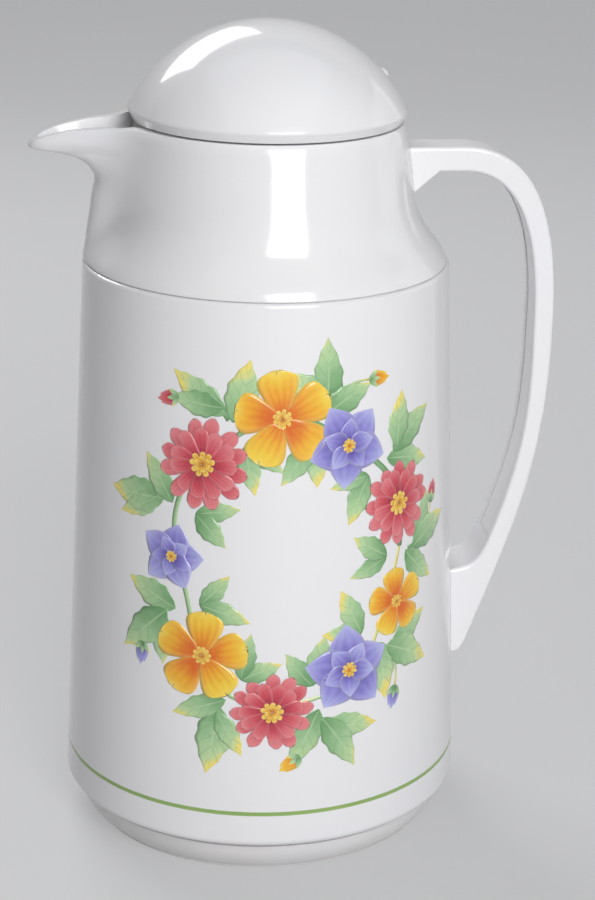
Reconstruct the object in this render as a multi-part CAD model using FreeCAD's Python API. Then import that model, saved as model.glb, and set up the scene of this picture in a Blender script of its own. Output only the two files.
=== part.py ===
"""Thermal carafe: a glass vacuum flask in a white moulded casing, with a screw stopper under a domed lid.

Millimetres, +Z up. The origin is the middle of the base on the table. The spout points along -X and the
handle along +X, so the part is symmetric about the XZ plane, apart from the screw thread.
"""

import FreeCAD, Part
import math
import os

Vector = FreeCAD.Vector
UP = Vector(0, 0, 1)
ORIGIN = Vector(0, 0, 0)

# Heights of the visible stack, from the table up
base_height = 11.6
body_height = 171.2
collar_height = 43.4
lid_gap = 0.5
lid_rim_height = 3.0
dome_height = 26.8

# Radii of the casing
base_step = 8.6
body_bottom_radius = 63.6
body_top_radius = 57.0
collar_foot_radius = 56.3
neck_radius = 42.7
lid_overhang = 0.3
lid_rim_chamfer = 1.5
lid_edge_round = 0.9

# Walls
body_wall = 2.4
collar_wall = 2.6
base_wall = 2.4
lid_wall = 2.0
stopper_wall = 2.0
glass_wall = 1.5

# Edges, seams and clearances
body_foot_round = 2.2
body_rim_round = 1.2
base_foot_round = 0.8
seam_groove = 0.3
base_seam_gap = 1.3
base_seam_depth = 2.0
base_inset = 1.1
fit_clearance = 0.1
seal_clearance = 0.35
thread_clearance = 0.4

# Collar: a slightly conical neck that flares to the seam
neck_slope = 0.13
flare_height = 25.0
flare_sharpness = 1.8
rim_round_height = 3.2
rim_round_depth = 1.4
collar_spigot_depth = 10.0
collar_spigot_wall = 2.2
collar_shoulder = 2.5

# Spout: a beak over a throat that fades out at the seam
spout_tip_reach = 73.0
spout_lip_root = 46.0
spout_lip_drop = 9.0
spout_lip_step = 0.9
spout_lip_overrun = 1.0
spout_keel_depth = 8.5
spout_keel_spread = 40.0
spout_keel_round = 0.9
throat_foot_reach = 57.0
throat_slope = 0.15
throat_top_half_angle = 16.0
throat_foot_half_angle = 6.5
throat_bluntness = 2.9
beak_lip_half_angle = 8.3
beak_keel_half_angle = 5.0
beak_root_half_angle = 9.0
beak_root_height = 8.0
beak_bluntness = 3.3
spout_floor = 2.0
spout_inside_half_angle = 1.9

# Handle, in the XZ plane: a strap with a channel that a strip closes
handle_top_width = 13.6
handle_foot_width = 19.2
handle_edge_round = 1.0
handle_top_drop = 8.2
handle_top_thickness = 7.7
handle_gusset = 7.6
handle_reach = 90.9
handle_bend_sweep = 0.6622517
handle_inner_bend_sweep = 0.5099338
handle_foot_sweep = 0.7040069
handle_crotch_sweep = 0.9708151
handle_grip_thickness = 6.3
handle_grip_drop = 17.8
handle_foot_height = 43.0
handle_foot_thickness = 4.1
handle_foot_tip = 4.3
handle_crotch_height = 76.8
handle_crotch_reach = 11.6
handle_wall = 2.2
handle_lip = 3.9
handle_root_block = 11.0
handle_foot_block = 1.0
handle_strip_thickness = 1.8
handle_strip_recess = 0.25

# Stopper and its screw thread
thread_depth = 2.0
thread_lead = 8.0
thread_rib = 2.4
thread_rib_crest = 1.4
thread_flank_gap = 0.35
neck_thread_turns = 0.7
stopper_thread_turns = 1.25
stopper_thread_start = -144.0
plug_side_gap = 1.0
plug_depth = 11.0
plug_lip = 1.2
plug_lip_thickness = 1.5
seal_depth = 22.2
seal_thickness = 2.0
seal_margin = 1.8
port_width = 18.0
port_depth = 4.0
port_top_drop = 4.0
pip_radius = 2.6
pip_height = 0.8
pip_tilt = 48.5

# Threaded neck inside the collar
neck_ring_wall = 5.0
neck_tube_wall = 2.2
neck_floor = 2.0
neck_ring_drop = 1.0
deck_drop = 1.3
deck_thickness = 2.0
pour_gap_width = 29.0

# Vacuum flask: two glass walls
flask_side_gap = 2.7
vacuum_gap = 2.5
flask_mouth_radius = 26.2
flask_bottom_gap = 8.4
flask_bottom_rise = 26.0
flask_shoulder_drop = 30.0
flask_neck_height = 7.0
flask_tip_radius = 3.6
flask_tip_length = 5.0
spacer_radius = 4.0
spacer_count = 3
spacer_rise = 12.0
gasket_thickness = 2.0
gasket_wall = 1.6
gasket_skirt = 6.0
cushion_width = 15.0
cushion_bore = 12.0

# Base and its bayonet
base_floor = 2.4
base_recess = 2.4
base_foot_width = 6.0
base_ledge = 4.4
base_channel = 4.0
base_bulge = 1.05
body_floor = 2.6
bayonet_rise = 4.0
bayonet_lug = 1.9
bayonet_lug_height = 2.6
bayonet_lug_degrees = 24.0
bayonet_notch_degrees = 28.0
bayonet_count = 3

# Self-tapping screws that hold the handle from inside
screw_shank_radius = 1.5
screw_head_radius = 2.6
screw_head_height = 1.8
screw_bite = 5.5
foot_screw_height = 54.0

# Levels worked out from the stack
seam_z = base_height + body_height
rim_z = seam_z + collar_height
lid_z = rim_z + lid_gap
dome_z = lid_z + lid_rim_height
seal_z = rim_z - seal_depth
neck_floor_z = seal_z - neck_floor
flask_rim_z = neck_floor_z - gasket_thickness
stopper_floor_z = seal_z + seal_thickness
keel_z = rim_z - spout_keel_depth
deck_z = keel_z - deck_drop
flask_bottom_z = base_height + flask_bottom_gap
base_floor_z = base_recess + base_floor

# Radii worked out from the casing inwards
lid_radius = neck_radius + lid_overhang
neck_bore_radius = neck_radius - collar_wall - neck_ring_wall - fit_clearance
neck_tube_radius = neck_bore_radius + neck_tube_wall
stopper_radius = neck_bore_radius - thread_clearance - thread_depth
plug_radius = flask_mouth_radius - plug_side_gap
spigot_radius = body_top_radius - body_wall - fit_clearance
flask_radius = spigot_radius - collar_spigot_wall - flask_side_gap
flask_neck_radius = flask_mouth_radius + 2 * glass_wall + vacuum_gap
base_radius = body_bottom_radius - base_step
bayonet_radius = base_radius - base_ledge
dome_sphere = (lid_radius**2 + dome_height**2) / (2 * dome_height)


def xz(point):
    return Vector(point[0], 0, point[1])


def line(start, end):
    return Part.LineSegment(xz(start), xz(end)).toShape()


def arc(start, through, end):
    return Part.Arc(xz(start), xz(through), xz(end)).toShape()


def bezier(*poles):
    curve = Part.BezierCurve()
    curve.setPoles([xz(pole) for pole in poles])
    return curve.toShape()


def quarter(start, corner, end):
    """A quarter ellipse between two points, tangent to the lines that meet in the corner."""
    pull = 0.5523
    first = tuple(s + pull * (c - s) for s, c in zip(start, corner))
    second = tuple(e + pull * (c - e) for e, c in zip(end, corner))
    return bezier(start, first, second, end)


def closed(edges):
    """One closed wire from edges in any order, with a straight line over a last gap."""
    ordered = Part.__sortEdges__(edges)
    first = ordered[0].firstVertex(True).Point
    last = ordered[-1].lastVertex(True).Point
    if first.distanceToPoint(last) > 1e-6:
        ordered.append(Part.LineSegment(last, first).toShape())
    return Part.Wire(ordered)


def polygon(*points):
    return Part.makePolygon([xz(p) for p in points] + [xz(points[0])])


def turned(wire, degrees=360.0):
    """A solid of revolution about Z from an outline in the XZ plane."""
    return Part.Face(wire).revolve(ORIGIN, UP, degrees)


def at_corner(edge, radius, z):
    """Whether an edge is the circle that a corner of the outline sweeps."""
    points = [vertex.Point for vertex in edge.Vertexes]
    return all(abs(math.hypot(p.x, p.y) - radius) < 0.001 and abs(p.z - z) < 0.001 for p in points)


def ring(inner, outer, low, high, degrees=360.0):
    """A ring about Z, or a sector of it centred on +X."""
    shape = turned(polygon((inner, low), (outer, low), (outer, high), (inner, high)), degrees)
    if degrees < 360.0:
        shape.rotate(ORIGIN, UP, -degrees / 2)
    return shape


def disc(radius, low, high):
    return Part.makeCylinder(radius, high - low, Vector(0, 0, low))


def block(x0, x1, width, z0, z1):
    return Part.makeBox(x1 - x0, width, z1 - z0, Vector(x0, -width / 2, z0))


def plate(wire, width):
    """An outline in the XZ plane, made into a plate of this width about the plane."""
    shape = Part.Face(wire).extrude(Vector(0, width, 0))
    shape.translate(Vector(0, -width / 2, 0))
    return shape


def around(shape, count, start=0.0):
    """Copies of a shape at equal steps round Z."""
    copies = []
    for i in range(count):
        copy = shape.copy()
        copy.rotate(ORIGIN, UP, start + 360.0 * i / count)
        copies.append(copy)
    return copies


def along_x(radius, x0, x1, z):
    return Part.makeCylinder(radius, x1 - x0, Vector(x0, 0, z), Vector(1, 0, 0))


def helical_rib(root, crest, turns, start_degrees, start_z):
    """A trapezoid rib on a right-hand helix, from the root radius to the crest radius."""
    half_root = thread_rib / 2
    half_crest = thread_rib_crest / 2
    section = polygon((root, -half_root), (crest, -half_crest), (crest, half_crest), (root, half_root))
    helix = Part.makeHelix(thread_lead, thread_lead * turns, root)
    rib = Part.Wire(helix.Edges).makePipeShell([section], True, True)
    rib.rotate(ORIGIN, UP, start_degrees)
    rib.translate(Vector(0, 0, start_z))
    return rib


# Collar and spout: horizontal sections r(angle, z), lofted


def clamp(value):
    return min(1.0, max(0.0, value))


def collar_radius(z):
    """Radius of the collar away from the spout: conical neck, flare to the seam, rounded rim."""
    neck = neck_radius + neck_slope * (rim_z - z)
    neck_at_seam = neck_radius + neck_slope * collar_height
    down = clamp((seam_z + flare_height - z) / flare_height) ** flare_sharpness
    flare = (collar_foot_radius - neck_at_seam) * down * down * (3 - 2 * down)
    up = clamp((z - rim_z + rim_round_height) / rim_round_height)
    return neck + flare - rim_round_depth * (1 - math.sqrt(1 - up * up))


def throat_reach(z):
    """How far the throat under the beak stands from the axis at a height."""
    return throat_foot_reach - throat_slope * (z - seam_z)


def spout_reach(z):
    """How far the throat and the underside of the beak together stand from the axis."""
    throat = throat_reach(z)
    below = keel_z - z
    closeness = (below + math.hypot(below, 2 * spout_keel_round)) / 2
    beak = max(0.0, spout_keel_spread / (closeness + 0.6) - 4.0)
    return ((throat + beak) ** -30 + spout_tip_reach**-30) ** (-1 / 30)


def throat_angle(z):
    """Half-angle of the throat in degrees: narrow at the seam, wide where it spreads into the collar."""
    rise = clamp((z - seam_z) / (keel_z - seam_z - spout_keel_depth / 2)) ** 1.4
    return throat_foot_half_angle + (throat_top_half_angle - throat_foot_half_angle) * rise


def beak_angle(z):
    """Half-angle of the beak in degrees: narrow at its keel, wider at the lip and at its root below."""
    if z > keel_z:
        rise = math.sqrt(clamp((z - keel_z) / spout_keel_depth))
        return beak_keel_half_angle + (beak_lip_half_angle - beak_keel_half_angle) * rise
    fall = clamp((keel_z - z) / beak_root_height)
    return beak_keel_half_angle + (beak_root_half_angle - beak_keel_half_angle) * fall


def collar_section(z, inset, inside):
    """Closed curve round the collar at height z. The inside one leaves walls, and a floor in the beak."""
    steps = 30
    shares = [(i / steps) ** 1.8 for i in range(steps + 1)]
    angles = [180.0 * s for s in shares] + [-180.0 * s for s in reversed(shares[1:-1])]
    reach_z = z - spout_floor if inside else z
    side_wall = spout_inside_half_angle if inside else 0.0
    throat_half = throat_angle(z) - side_wall
    beak_half = beak_angle(z) - side_wall
    away = collar_radius(z) - inset
    throat = max(0.0, throat_reach(reach_z) - inset - away)
    beak = max(0.0, spout_reach(reach_z) - inset - away - throat)
    points = []
    for angle in angles:
        radius = away + throat / (1 + (abs(angle) / throat_half) ** throat_bluntness)
        radius += beak / (1 + (abs(angle) / beak_half) ** beak_bluntness)
        turn = math.radians(180.0 - angle)
        points.append(Vector(radius * math.cos(turn), radius * math.sin(turn), z))
    curve = Part.BSplineCurve()
    curve.interpolate(Points=points, PeriodicFlag=True)
    return Part.Wire(curve.toShape())


def collar_loft(low, inset=0.0, inside=False):
    """Solid inside the collar's outer surface, or inside its inner one."""
    shares = (0.0, 0.07, 0.16, 0.27, 0.39, 0.5, 0.59, 0.66, 0.71, 0.745, 0.765, 0.785,
              0.81, 0.845, 0.885, 0.925, 0.96, 0.985, 1.02)
    levels = [low + (rim_z - low) * share for share in shares]
    return Part.makeLoft([collar_section(z, inset, inside) for z in levels], True, False)


def above_lip():
    """Everything over the collar's rim and over the spout's drooping lip."""
    far = spout_tip_reach + 30.0
    top = rim_z + 20.0
    end_x = -spout_tip_reach - spout_lip_overrun
    root = (-spout_lip_root, rim_z - spout_lip_step)
    tip = (end_x, root[1] - spout_lip_drop)
    lip = quarter(root, (end_x, root[1]), tip)
    rim_start = (-neck_radius + rim_round_depth, rim_z)
    edges = [lip, line(rim_start, root), line(rim_start, (far, rim_z)), line((far, rim_z), (far, top))]
    edges += [line((far, top), (-far, top)), line((-far, top), (-far, tip[1])), line((-far, tip[1]), tip)]
    return plate(closed(edges), 4 * spout_tip_reach)


def collar_shell(outside):
    """The collar with its spout, and a spigot that plugs into the body."""
    shoulder_z = seam_z + collar_shoulder
    low_z = seam_z - collar_spigot_depth
    spigot = disc(spigot_radius, low_z, shoulder_z)
    seat = disc(collar_foot_radius - 2 * seam_groove, seam_z, seam_z + 2 * seam_groove)
    shell = outside.fuse([spigot, seat])
    inside = collar_loft(shoulder_z, collar_wall, True)
    bore = disc(spigot_radius - collar_spigot_wall, low_z - 1.0, shoulder_z + 1.0)
    return shell.cut([inside, bore, above_lip()])


# Body, base and flask


def body_radius(z):
    """Outer radius of the conical body at a height."""
    share = (z - base_height) / body_height
    return body_bottom_radius + (body_top_radius - body_bottom_radius) * share


def body_cone():
    """The body's outer surface, as a full solid."""
    return turned(polygon((0, base_height), (body_bottom_radius, base_height),
                          (body_top_radius, seam_z), (0, seam_z)))


def body_sleeve():
    """Conical sleeve with an inward floor, notched for the base's bayonet."""
    bore = bayonet_radius + fit_clearance
    floor_z = base_height + body_floor
    foot_z = base_height + body_foot_round
    foot_x = body_radius(foot_z)
    rim_round_z = seam_z - body_rim_round
    rim_x = body_radius(rim_round_z)
    inner_top = spigot_radius + fit_clearance
    edges = [
        line((bore, base_height), (foot_x - body_foot_round, base_height)),
        quarter((foot_x - body_foot_round, base_height), (foot_x, base_height), (foot_x, foot_z)),
        line((foot_x, foot_z), (rim_x, rim_round_z)),
        quarter((rim_x, rim_round_z), (rim_x, seam_z), (rim_x - body_rim_round, seam_z)),
        line((rim_x - body_rim_round, seam_z), (inner_top, seam_z)),
        line((inner_top, seam_z), (inner_top, seam_z - collar_spigot_depth - 1.0)),
        line((inner_top, seam_z - collar_spigot_depth - 1.0), (body_radius(floor_z) - body_wall, floor_z)),
        line((body_radius(floor_z) - body_wall, floor_z), (bore, floor_z)),
    ]
    sleeve = turned(closed(edges))
    notch_radius = bayonet_radius + bayonet_lug + 2 * fit_clearance
    notch = ring(bore - 1.0, notch_radius, base_height - 1.0, floor_z + 1.0, bayonet_notch_degrees)
    return sleeve.cut(around(notch, bayonet_count, 180.0 / bayonet_count))


def base_cap():
    """Twist-on base: a bowl, a floor, a spigot with bayonet lugs and a ring round the cushion."""
    lug_z = base_height + body_floor + fit_clearance
    spigot_z = lug_z + bayonet_lug_height
    inner = bayonet_radius - base_wall
    foot_inner = base_radius - base_foot_width
    top_radius = body_radius(base_height) - body_foot_round - base_inset
    edge_z = base_height - base_seam_gap
    rest_radius = top_radius - base_seam_depth
    rise = Vector(top_radius - base_radius, 0, edge_z - base_foot_round)
    bowl = (
        base_radius + rise.x / 2 + base_bulge * rise.z / rise.Length,
        base_foot_round + rise.z / 2 - base_bulge * rise.x / rise.Length,
    )
    edges = [
        line((foot_inner, 0), (base_radius - base_foot_round, 0)),
        quarter((base_radius - base_foot_round, 0), (base_radius, 0), (base_radius, base_foot_round)),
        arc((base_radius, base_foot_round), bowl, (top_radius, edge_z)),
        line((top_radius, edge_z), (rest_radius, edge_z)),
        line((rest_radius, edge_z), (rest_radius, base_height)),
        line((rest_radius, base_height), (rest_radius - base_wall, base_height)),
        line((rest_radius - base_wall, base_height), (bayonet_radius + base_channel, base_floor_z)),
        line((bayonet_radius + base_channel, base_floor_z), (bayonet_radius, base_floor_z)),
        line((bayonet_radius, base_floor_z), (bayonet_radius, spigot_z)),
        line((bayonet_radius, spigot_z), (inner, spigot_z)),
        line((inner, spigot_z), (inner, base_floor_z)),
        line((inner, base_floor_z), (0, base_floor_z)),
        line((0, base_floor_z), (0, base_recess)),
        line((0, base_recess), (foot_inner, base_recess)),
    ]
    cap = turned(closed(edges))
    lug = ring(inner + 1.0, bayonet_radius + bayonet_lug, lug_z, spigot_z, bayonet_lug_degrees)
    cup = cushion_bore + cushion_width + fit_clearance
    holder = ring(cup, cup + base_wall, base_recess + 1.0, base_height)
    return cap.fuse(around(lug, bayonet_count) + [holder])


def flask_edges(inset):
    """Half outline of the flask at a depth inside its outer surface, from the pole to the mouth."""
    bottom_z = flask_bottom_z + inset
    wide = flask_radius - inset
    neck = flask_neck_radius - inset
    wall_z = flask_bottom_z + flask_bottom_rise
    shoulder_z = flask_rim_z - flask_shoulder_drop
    neck_z = flask_rim_z - flask_neck_height
    half = (neck_z - shoulder_z) / 2
    return [
        quarter((0, bottom_z), (wide, bottom_z), (wide, wall_z)),
        line((wide, wall_z), (wide, shoulder_z)),
        bezier((wide, shoulder_z), (wide, shoulder_z + 1.3 * half), (neck, neck_z - half), (neck, neck_z)),
        line((neck, neck_z), (neck, flask_rim_z)),
    ]


def flask_solid(inset):
    """The flask filled in, at a depth inside its outer surface."""
    mouth = (flask_neck_radius - inset, flask_rim_z)
    return turned(closed(flask_edges(inset) + [line(mouth, (0, flask_rim_z))]))


def flask_outer_glass():
    """Outer glass wall, with the rolled-over rim and the sealed exhaust tip."""
    inner_depth = glass_wall + vacuum_gap
    shell = flask_solid(0).cut(flask_solid(glass_wall))
    rim = ring(flask_neck_radius - inner_depth, flask_neck_radius, flask_rim_z - glass_wall, flask_rim_z)
    tip = Part.makeCone(flask_tip_radius / 3, flask_tip_radius, flask_tip_length + glass_wall,
                        Vector(0, 0, flask_bottom_z - flask_tip_length))
    return shell.fuse([rim, tip])


def flask_inner_glass():
    return flask_solid(glass_wall + vacuum_gap).cut(flask_solid(2 * glass_wall + vacuum_gap))


def flask_spacers():
    """Pads that keep the two glass walls apart."""
    outer = flask_radius - glass_wall
    z = flask_bottom_z + flask_bottom_rise + spacer_rise
    gap = ring(outer - vacuum_gap, outer, z - 2 * spacer_radius, z + 2 * spacer_radius)
    pad = along_x(spacer_radius, outer - 2 * vacuum_gap, outer + vacuum_gap, z).common(gap)
    return Part.makeCompound(around(pad, spacer_count))


def flask_gasket():
    """Rubber ring over the flask's rim, with a skirt round its neck."""
    hole = flask_mouth_radius
    inside = flask_neck_radius + fit_clearance
    outside = inside + gasket_wall
    low = flask_rim_z - gasket_skirt
    return turned(polygon((hole, flask_rim_z), (inside, flask_rim_z), (inside, low), (outside, low),
                          (outside, neck_floor_z), (hole, neck_floor_z)))


def flask_cushion():
    """Rubber ring in the base, hollowed to the flask's bottom."""
    blank = ring(cushion_bore, cushion_bore + cushion_width, base_floor_z, flask_bottom_z + flask_bottom_rise)
    return blank.cut(flask_solid(-fit_clearance))


# Threaded neck, stopper and lid

neck_thread_start = -180.0 * neck_thread_turns
stopper_rib_z = stopper_floor_z + thread_clearance + thread_rib / 2
neck_rib_rise = thread_lead * (neck_thread_start - stopper_thread_start) / 360.0
neck_rib_z = stopper_rib_z + neck_rib_rise + thread_rib + thread_flank_gap


def threaded_neck():
    """Insert in the collar: screw thread, floor for the seal, and a deck that leads to the spout."""
    tube = disc(neck_tube_radius, neck_floor_z, rim_z - neck_ring_drop)
    inside = collar_loft(seam_z + collar_shoulder, collar_wall + fit_clearance, True)
    slab = block(-spout_tip_reach, neck_radius, 2 * neck_radius, deck_z, rim_z - neck_ring_drop)
    neck = tube.fuse(inside.common(slab)).cut(disc(neck_bore_radius, seal_z, rim_z))
    neck = neck.cut(disc(flask_mouth_radius + fit_clearance, neck_floor_z - 1.0, rim_z))
    root = neck_bore_radius + fit_clearance
    crest = neck_bore_radius - thread_depth
    rib = helical_rib(root, crest, neck_thread_turns, neck_thread_start, neck_rib_z)
    channel = block(-spout_tip_reach, 0, pour_gap_width, deck_z + deck_thickness, rim_z + 1.0)
    return neck.fuse(rib).cut([channel, above_lip()])


def port_block(wall):
    """The pouring port in the stopper's skirt, or the block that walls it in."""
    top = rim_z - port_top_drop + wall
    low = stopper_floor_z - (1.0 if wall == 0 else 0.0)
    inner = stopper_radius - port_depth - wall
    outer = stopper_radius + (2 * thread_depth if wall == 0 else -stopper_wall / 2)
    return block(inner, outer, port_width + 2 * wall, low, top)


def stopper_body():
    """Threaded cup under the lid, with a flange that closes the dome and a port in its skirt."""
    hole = plug_radius + fit_clearance
    inner = stopper_radius - stopper_wall
    floor_z = stopper_floor_z + stopper_wall
    flange = lid_radius - lid_rim_chamfer - lid_wall - fit_clearance
    flange_z = lid_z + stopper_wall
    cup = turned(polygon((hole, stopper_floor_z), (stopper_radius, stopper_floor_z), (stopper_radius, lid_z),
                         (flange, lid_z), (flange, flange_z), (inner, flange_z), (inner, floor_z),
                         (hole, floor_z)))
    rib = helical_rib(stopper_radius - fit_clearance, stopper_radius + thread_depth, stopper_thread_turns,
                      stopper_thread_start, stopper_rib_z)
    port_walls = port_block(stopper_wall).common(disc(stopper_radius, stopper_floor_z, lid_z))
    return cup.fuse([rib, port_walls]).cut(port_block(0))


def stopper_plug():
    """Cup that hangs through the stopper's floor into the flask's mouth."""
    low = seal_z - plug_depth
    lip_z = stopper_floor_z + stopper_wall
    top = lip_z + plug_lip_thickness
    inner = plug_radius - stopper_wall
    return turned(polygon((0, low), (plug_radius, low), (plug_radius, lip_z), (plug_radius + plug_lip, lip_z),
                          (plug_radius + plug_lip, top), (inner, top), (inner, low + stopper_wall),
                          (0, low + stopper_wall)))


def stopper_foam():
    """Insulating foam that fills the plug and the cup above it."""
    low = seal_z - plug_depth + stopper_wall
    step_z = stopper_floor_z + stopper_wall + plug_lip_thickness + fit_clearance
    narrow = plug_radius - stopper_wall - fit_clearance
    wide = stopper_radius - stopper_wall - fit_clearance
    fill = turned(polygon((0, low), (narrow, low), (narrow, step_z), (wide, step_z), (wide, lid_z),
                          (0, lid_z)))
    return fill.cut(port_block(stopper_wall + fit_clearance))


def stopper_seal():
    return ring(plug_radius + seal_clearance, stopper_radius - seal_margin, seal_z, stopper_floor_z)


def lid_dome():
    """Domed lid with a chamfered rim, and a raised pip that marks the pouring port."""
    centre_z = dome_z + dome_height - dome_sphere
    inner_sphere = dome_sphere - lid_wall
    inner_rim = math.sqrt(inner_sphere**2 - (dome_z - centre_z) ** 2)
    lean = math.radians(65.0)

    def on_sphere(radius):
        return (radius * math.cos(lean), centre_z + radius * math.sin(lean))

    outer_low = (lid_radius - lid_rim_chamfer, lid_z)
    inner_low = (outer_low[0] - lid_wall, lid_z)
    edges = [
        line(outer_low, (lid_radius, dome_z)),
        arc((lid_radius, dome_z), on_sphere(dome_sphere), (0, centre_z + dome_sphere)),
        line((0, centre_z + dome_sphere), (0, centre_z + inner_sphere)),
        arc((0, centre_z + inner_sphere), on_sphere(inner_sphere), (inner_rim, dome_z)),
        line((inner_rim, dome_z), inner_low),
        line(inner_low, outer_low),
    ]
    tilt = math.radians(pip_tilt)
    pip_centre = dome_sphere + pip_height - pip_radius
    pip = Part.makeSphere(pip_radius)
    pip.translate(Vector(pip_centre * math.sin(tilt), 0, centre_z + pip_centre * math.cos(tilt)))
    cavity = Part.makeSphere(inner_sphere)
    cavity.translate(Vector(0, 0, centre_z))
    dome = turned(closed(edges))
    rim_edges = [e for e in dome.Edges if at_corner(e, lid_radius, dome_z)]
    return dome.makeFillet(lid_edge_round, rim_edges).fuse(pip.cut(cavity))


# Handle

handle_top_z = rim_z - handle_top_drop
grip_z = seam_z - handle_grip_drop
foot_z = base_height + handle_foot_height
crotch_z = base_height + handle_crotch_height
handle_root_x = neck_radius - collar_wall


def handle_half_width(z):
    """Half the strap's width, which grows evenly from the top to the crotch and beyond."""
    share = (handle_top_z - z) / (handle_top_z - crotch_z)
    return (handle_top_width + (handle_foot_width - handle_top_width) * share) / 2


def handle_wedge(inset):
    """The space between the strap's two sides, each moved inwards by the inset."""
    low = handle_half_width(0) - inset
    high = handle_half_width(rim_z) - inset
    corners = [Vector(0, -low, 0), Vector(0, low, 0), Vector(0, high, rim_z), Vector(0, -high, rim_z)]
    face = Part.Face(Part.makePolygon(corners + corners[:1]))
    return face.extrude(Vector(2 * handle_reach, 0, 0))


def handle_outer_edges(inset):
    """Back of the handle from the collar to the foot, moved inwards by the inset."""
    top = handle_top_z - inset
    reach = handle_reach - inset
    bend_x = neck_radius + 18.0
    foot = (body_radius(foot_z) + handle_foot_thickness - inset, foot_z)
    bend_end = bend_x + handle_bend_sweep * (handle_reach - bend_x)
    sweep_x = foot[0] + handle_foot_sweep * (reach - foot[0])
    return [
        line((handle_root_x, top), (bend_x, top)),
        bezier((bend_x, top), (bend_end, top), (reach, grip_z + 36.0), (reach, grip_z)),
        bezier((reach, grip_z), (reach, grip_z - 45.0), (sweep_x, foot_z + 45.0), foot),
    ]


def handle_inner_edges(inset):
    """Finger side of the handle from the collar to the crotch, moved into the strap by the inset."""
    level = handle_top_z - handle_top_thickness + inset
    reach = handle_reach - handle_grip_thickness + inset
    bend_x = neck_radius + 18.0
    crotch = (body_radius(crotch_z) + handle_crotch_reach + inset, crotch_z)
    bend_end = bend_x + handle_inner_bend_sweep * (handle_reach - bend_x)
    sweep_x = crotch[0] + handle_crotch_sweep * (reach - crotch[0])
    return [
        line((handle_root_x, level), (bend_x, level)),
        bezier((bend_x, level), (bend_end, level), (reach, grip_z + 30.5), (reach, grip_z)),
        bezier((reach, grip_z), (reach, grip_z - 30.0), (sweep_x, crotch_z + 32.0), crotch),
    ]


def ends(edges):
    """First and last point of a row of edges from the collar to the foot, as (x, z)."""
    first = edges[0].Vertexes[0].Point
    last = edges[-1].Vertexes[-1].Point
    return (first.x, first.z), (last.x, last.z)


def handle_blank():
    """The whole strap with rounded edges, before its channel and its seats are cut."""
    outer = handle_outer_edges(0)
    inner = handle_inner_edges(0)
    foot = ends(outer)[1]
    crotch = ends(inner)[1]
    root_top, root_low = ends(outer)[0], ends(inner)[0]
    inside_x = body_radius(foot_z) - body_wall
    tip_z = foot_z - handle_foot_tip
    crotch_end = (inside_x, crotch_z - 0.8 * handle_crotch_reach)
    gusset_x = collar_radius(root_low[1]) + handle_gusset
    gusset_low = (handle_root_x, root_low[1] - 0.85 * (gusset_x - handle_root_x))
    edges = outer + inner[1:]
    edges += [
        bezier(foot, (foot[0] - 1.5, foot[1] - 3.6), (foot[0] - 2.6, tip_z), (foot[0] - 4.8, tip_z)),
        line((foot[0] - 4.8, tip_z), (inside_x, tip_z)),
        line((inside_x, tip_z), crotch_end),
        bezier(crotch_end, (inside_x + 8.0, crotch_end[1] + 1.0), (crotch[0] - 3.0, crotch[1] - 6.6), crotch),
        line(ends(inner[1:])[0], (gusset_x, root_low[1])),
        line((gusset_x, root_low[1]), gusset_low),
        line(gusset_low, root_top),
    ]
    strap = plate(closed(edges), 2 * handle_foot_width).common(handle_wedge(0))
    long_edges = []
    for edge in strap.Edges:
        on_side = all(abs(abs(p.y) - handle_half_width(p.z)) < 1e-3 for p in edge.discretize(5))
        if on_side and edge.BoundBox.XMax > max(inside_x, gusset_x - 0.01):
            long_edges.append(edge)
    return strap.makeFillet(handle_edge_round, long_edges)


def handle_band(outer, inner, side_inset, end_gap):
    """Part of the strap between two rows of edges, clear of its sides and of both solid ends."""
    outer_ends, inner_ends = ends(outer), ends(inner)
    edges = outer + inner + [line(outer_ends[0], inner_ends[0]), line(outer_ends[1], inner_ends[1])]
    width = 2 * handle_foot_width
    band = plate(closed(edges), width).common(handle_wedge(side_inset))
    root_x = collar_radius(handle_top_z) + handle_root_block + end_gap
    low_z = crotch_z + handle_foot_block + end_gap
    far = handle_reach + 10.0
    band = band.cut(block(0, far, 2 * width, 0, low_z))
    return band.cut(block(0, root_x, 2 * width, low_z, rim_z))


def handle_channel():
    return handle_band(handle_outer_edges(handle_wall), handle_inner_edges(-handle_wall), handle_lip, 0.0)


def handle_strip():
    """Strip that closes the channel on the finger side."""
    back = handle_inner_edges(handle_strip_recess + handle_strip_thickness)
    side_inset = handle_lip + fit_clearance
    return handle_band(back, handle_inner_edges(handle_strip_recess), side_inset, fit_clearance)


def handle_screw(wall_inside_x, wall_outside_x, z, radius_gap=0.0):
    """Pan-head screw through a casing wall into the handle, or the hole for it."""
    end_x = wall_outside_x + screw_bite + radius_gap
    shank = along_x(screw_shank_radius + radius_gap, wall_inside_x, end_x, z)
    if radius_gap > 0:
        return shank
    head = along_x(screw_head_radius, wall_inside_x - screw_head_height, wall_inside_x, z)
    return shank.fuse(head)


def screw_seat(outside_x, wall, z):
    """Inside and outside of the sloping wall that a screw passes, and the screw's height."""
    slope_gap = neck_slope * screw_head_radius
    return outside_x - wall - slope_gap, outside_x, z


top_screw_z = handle_top_z - handle_top_thickness
foot_screw_z = base_height + foot_screw_height
screw_seats = [
    screw_seat(collar_radius(top_screw_z), collar_wall, top_screw_z),
    screw_seat(body_radius(foot_screw_z), body_wall, foot_screw_z),
]
screw_holes = [handle_screw(*seat, radius_gap=fit_clearance) for seat in screw_seats]

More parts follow.
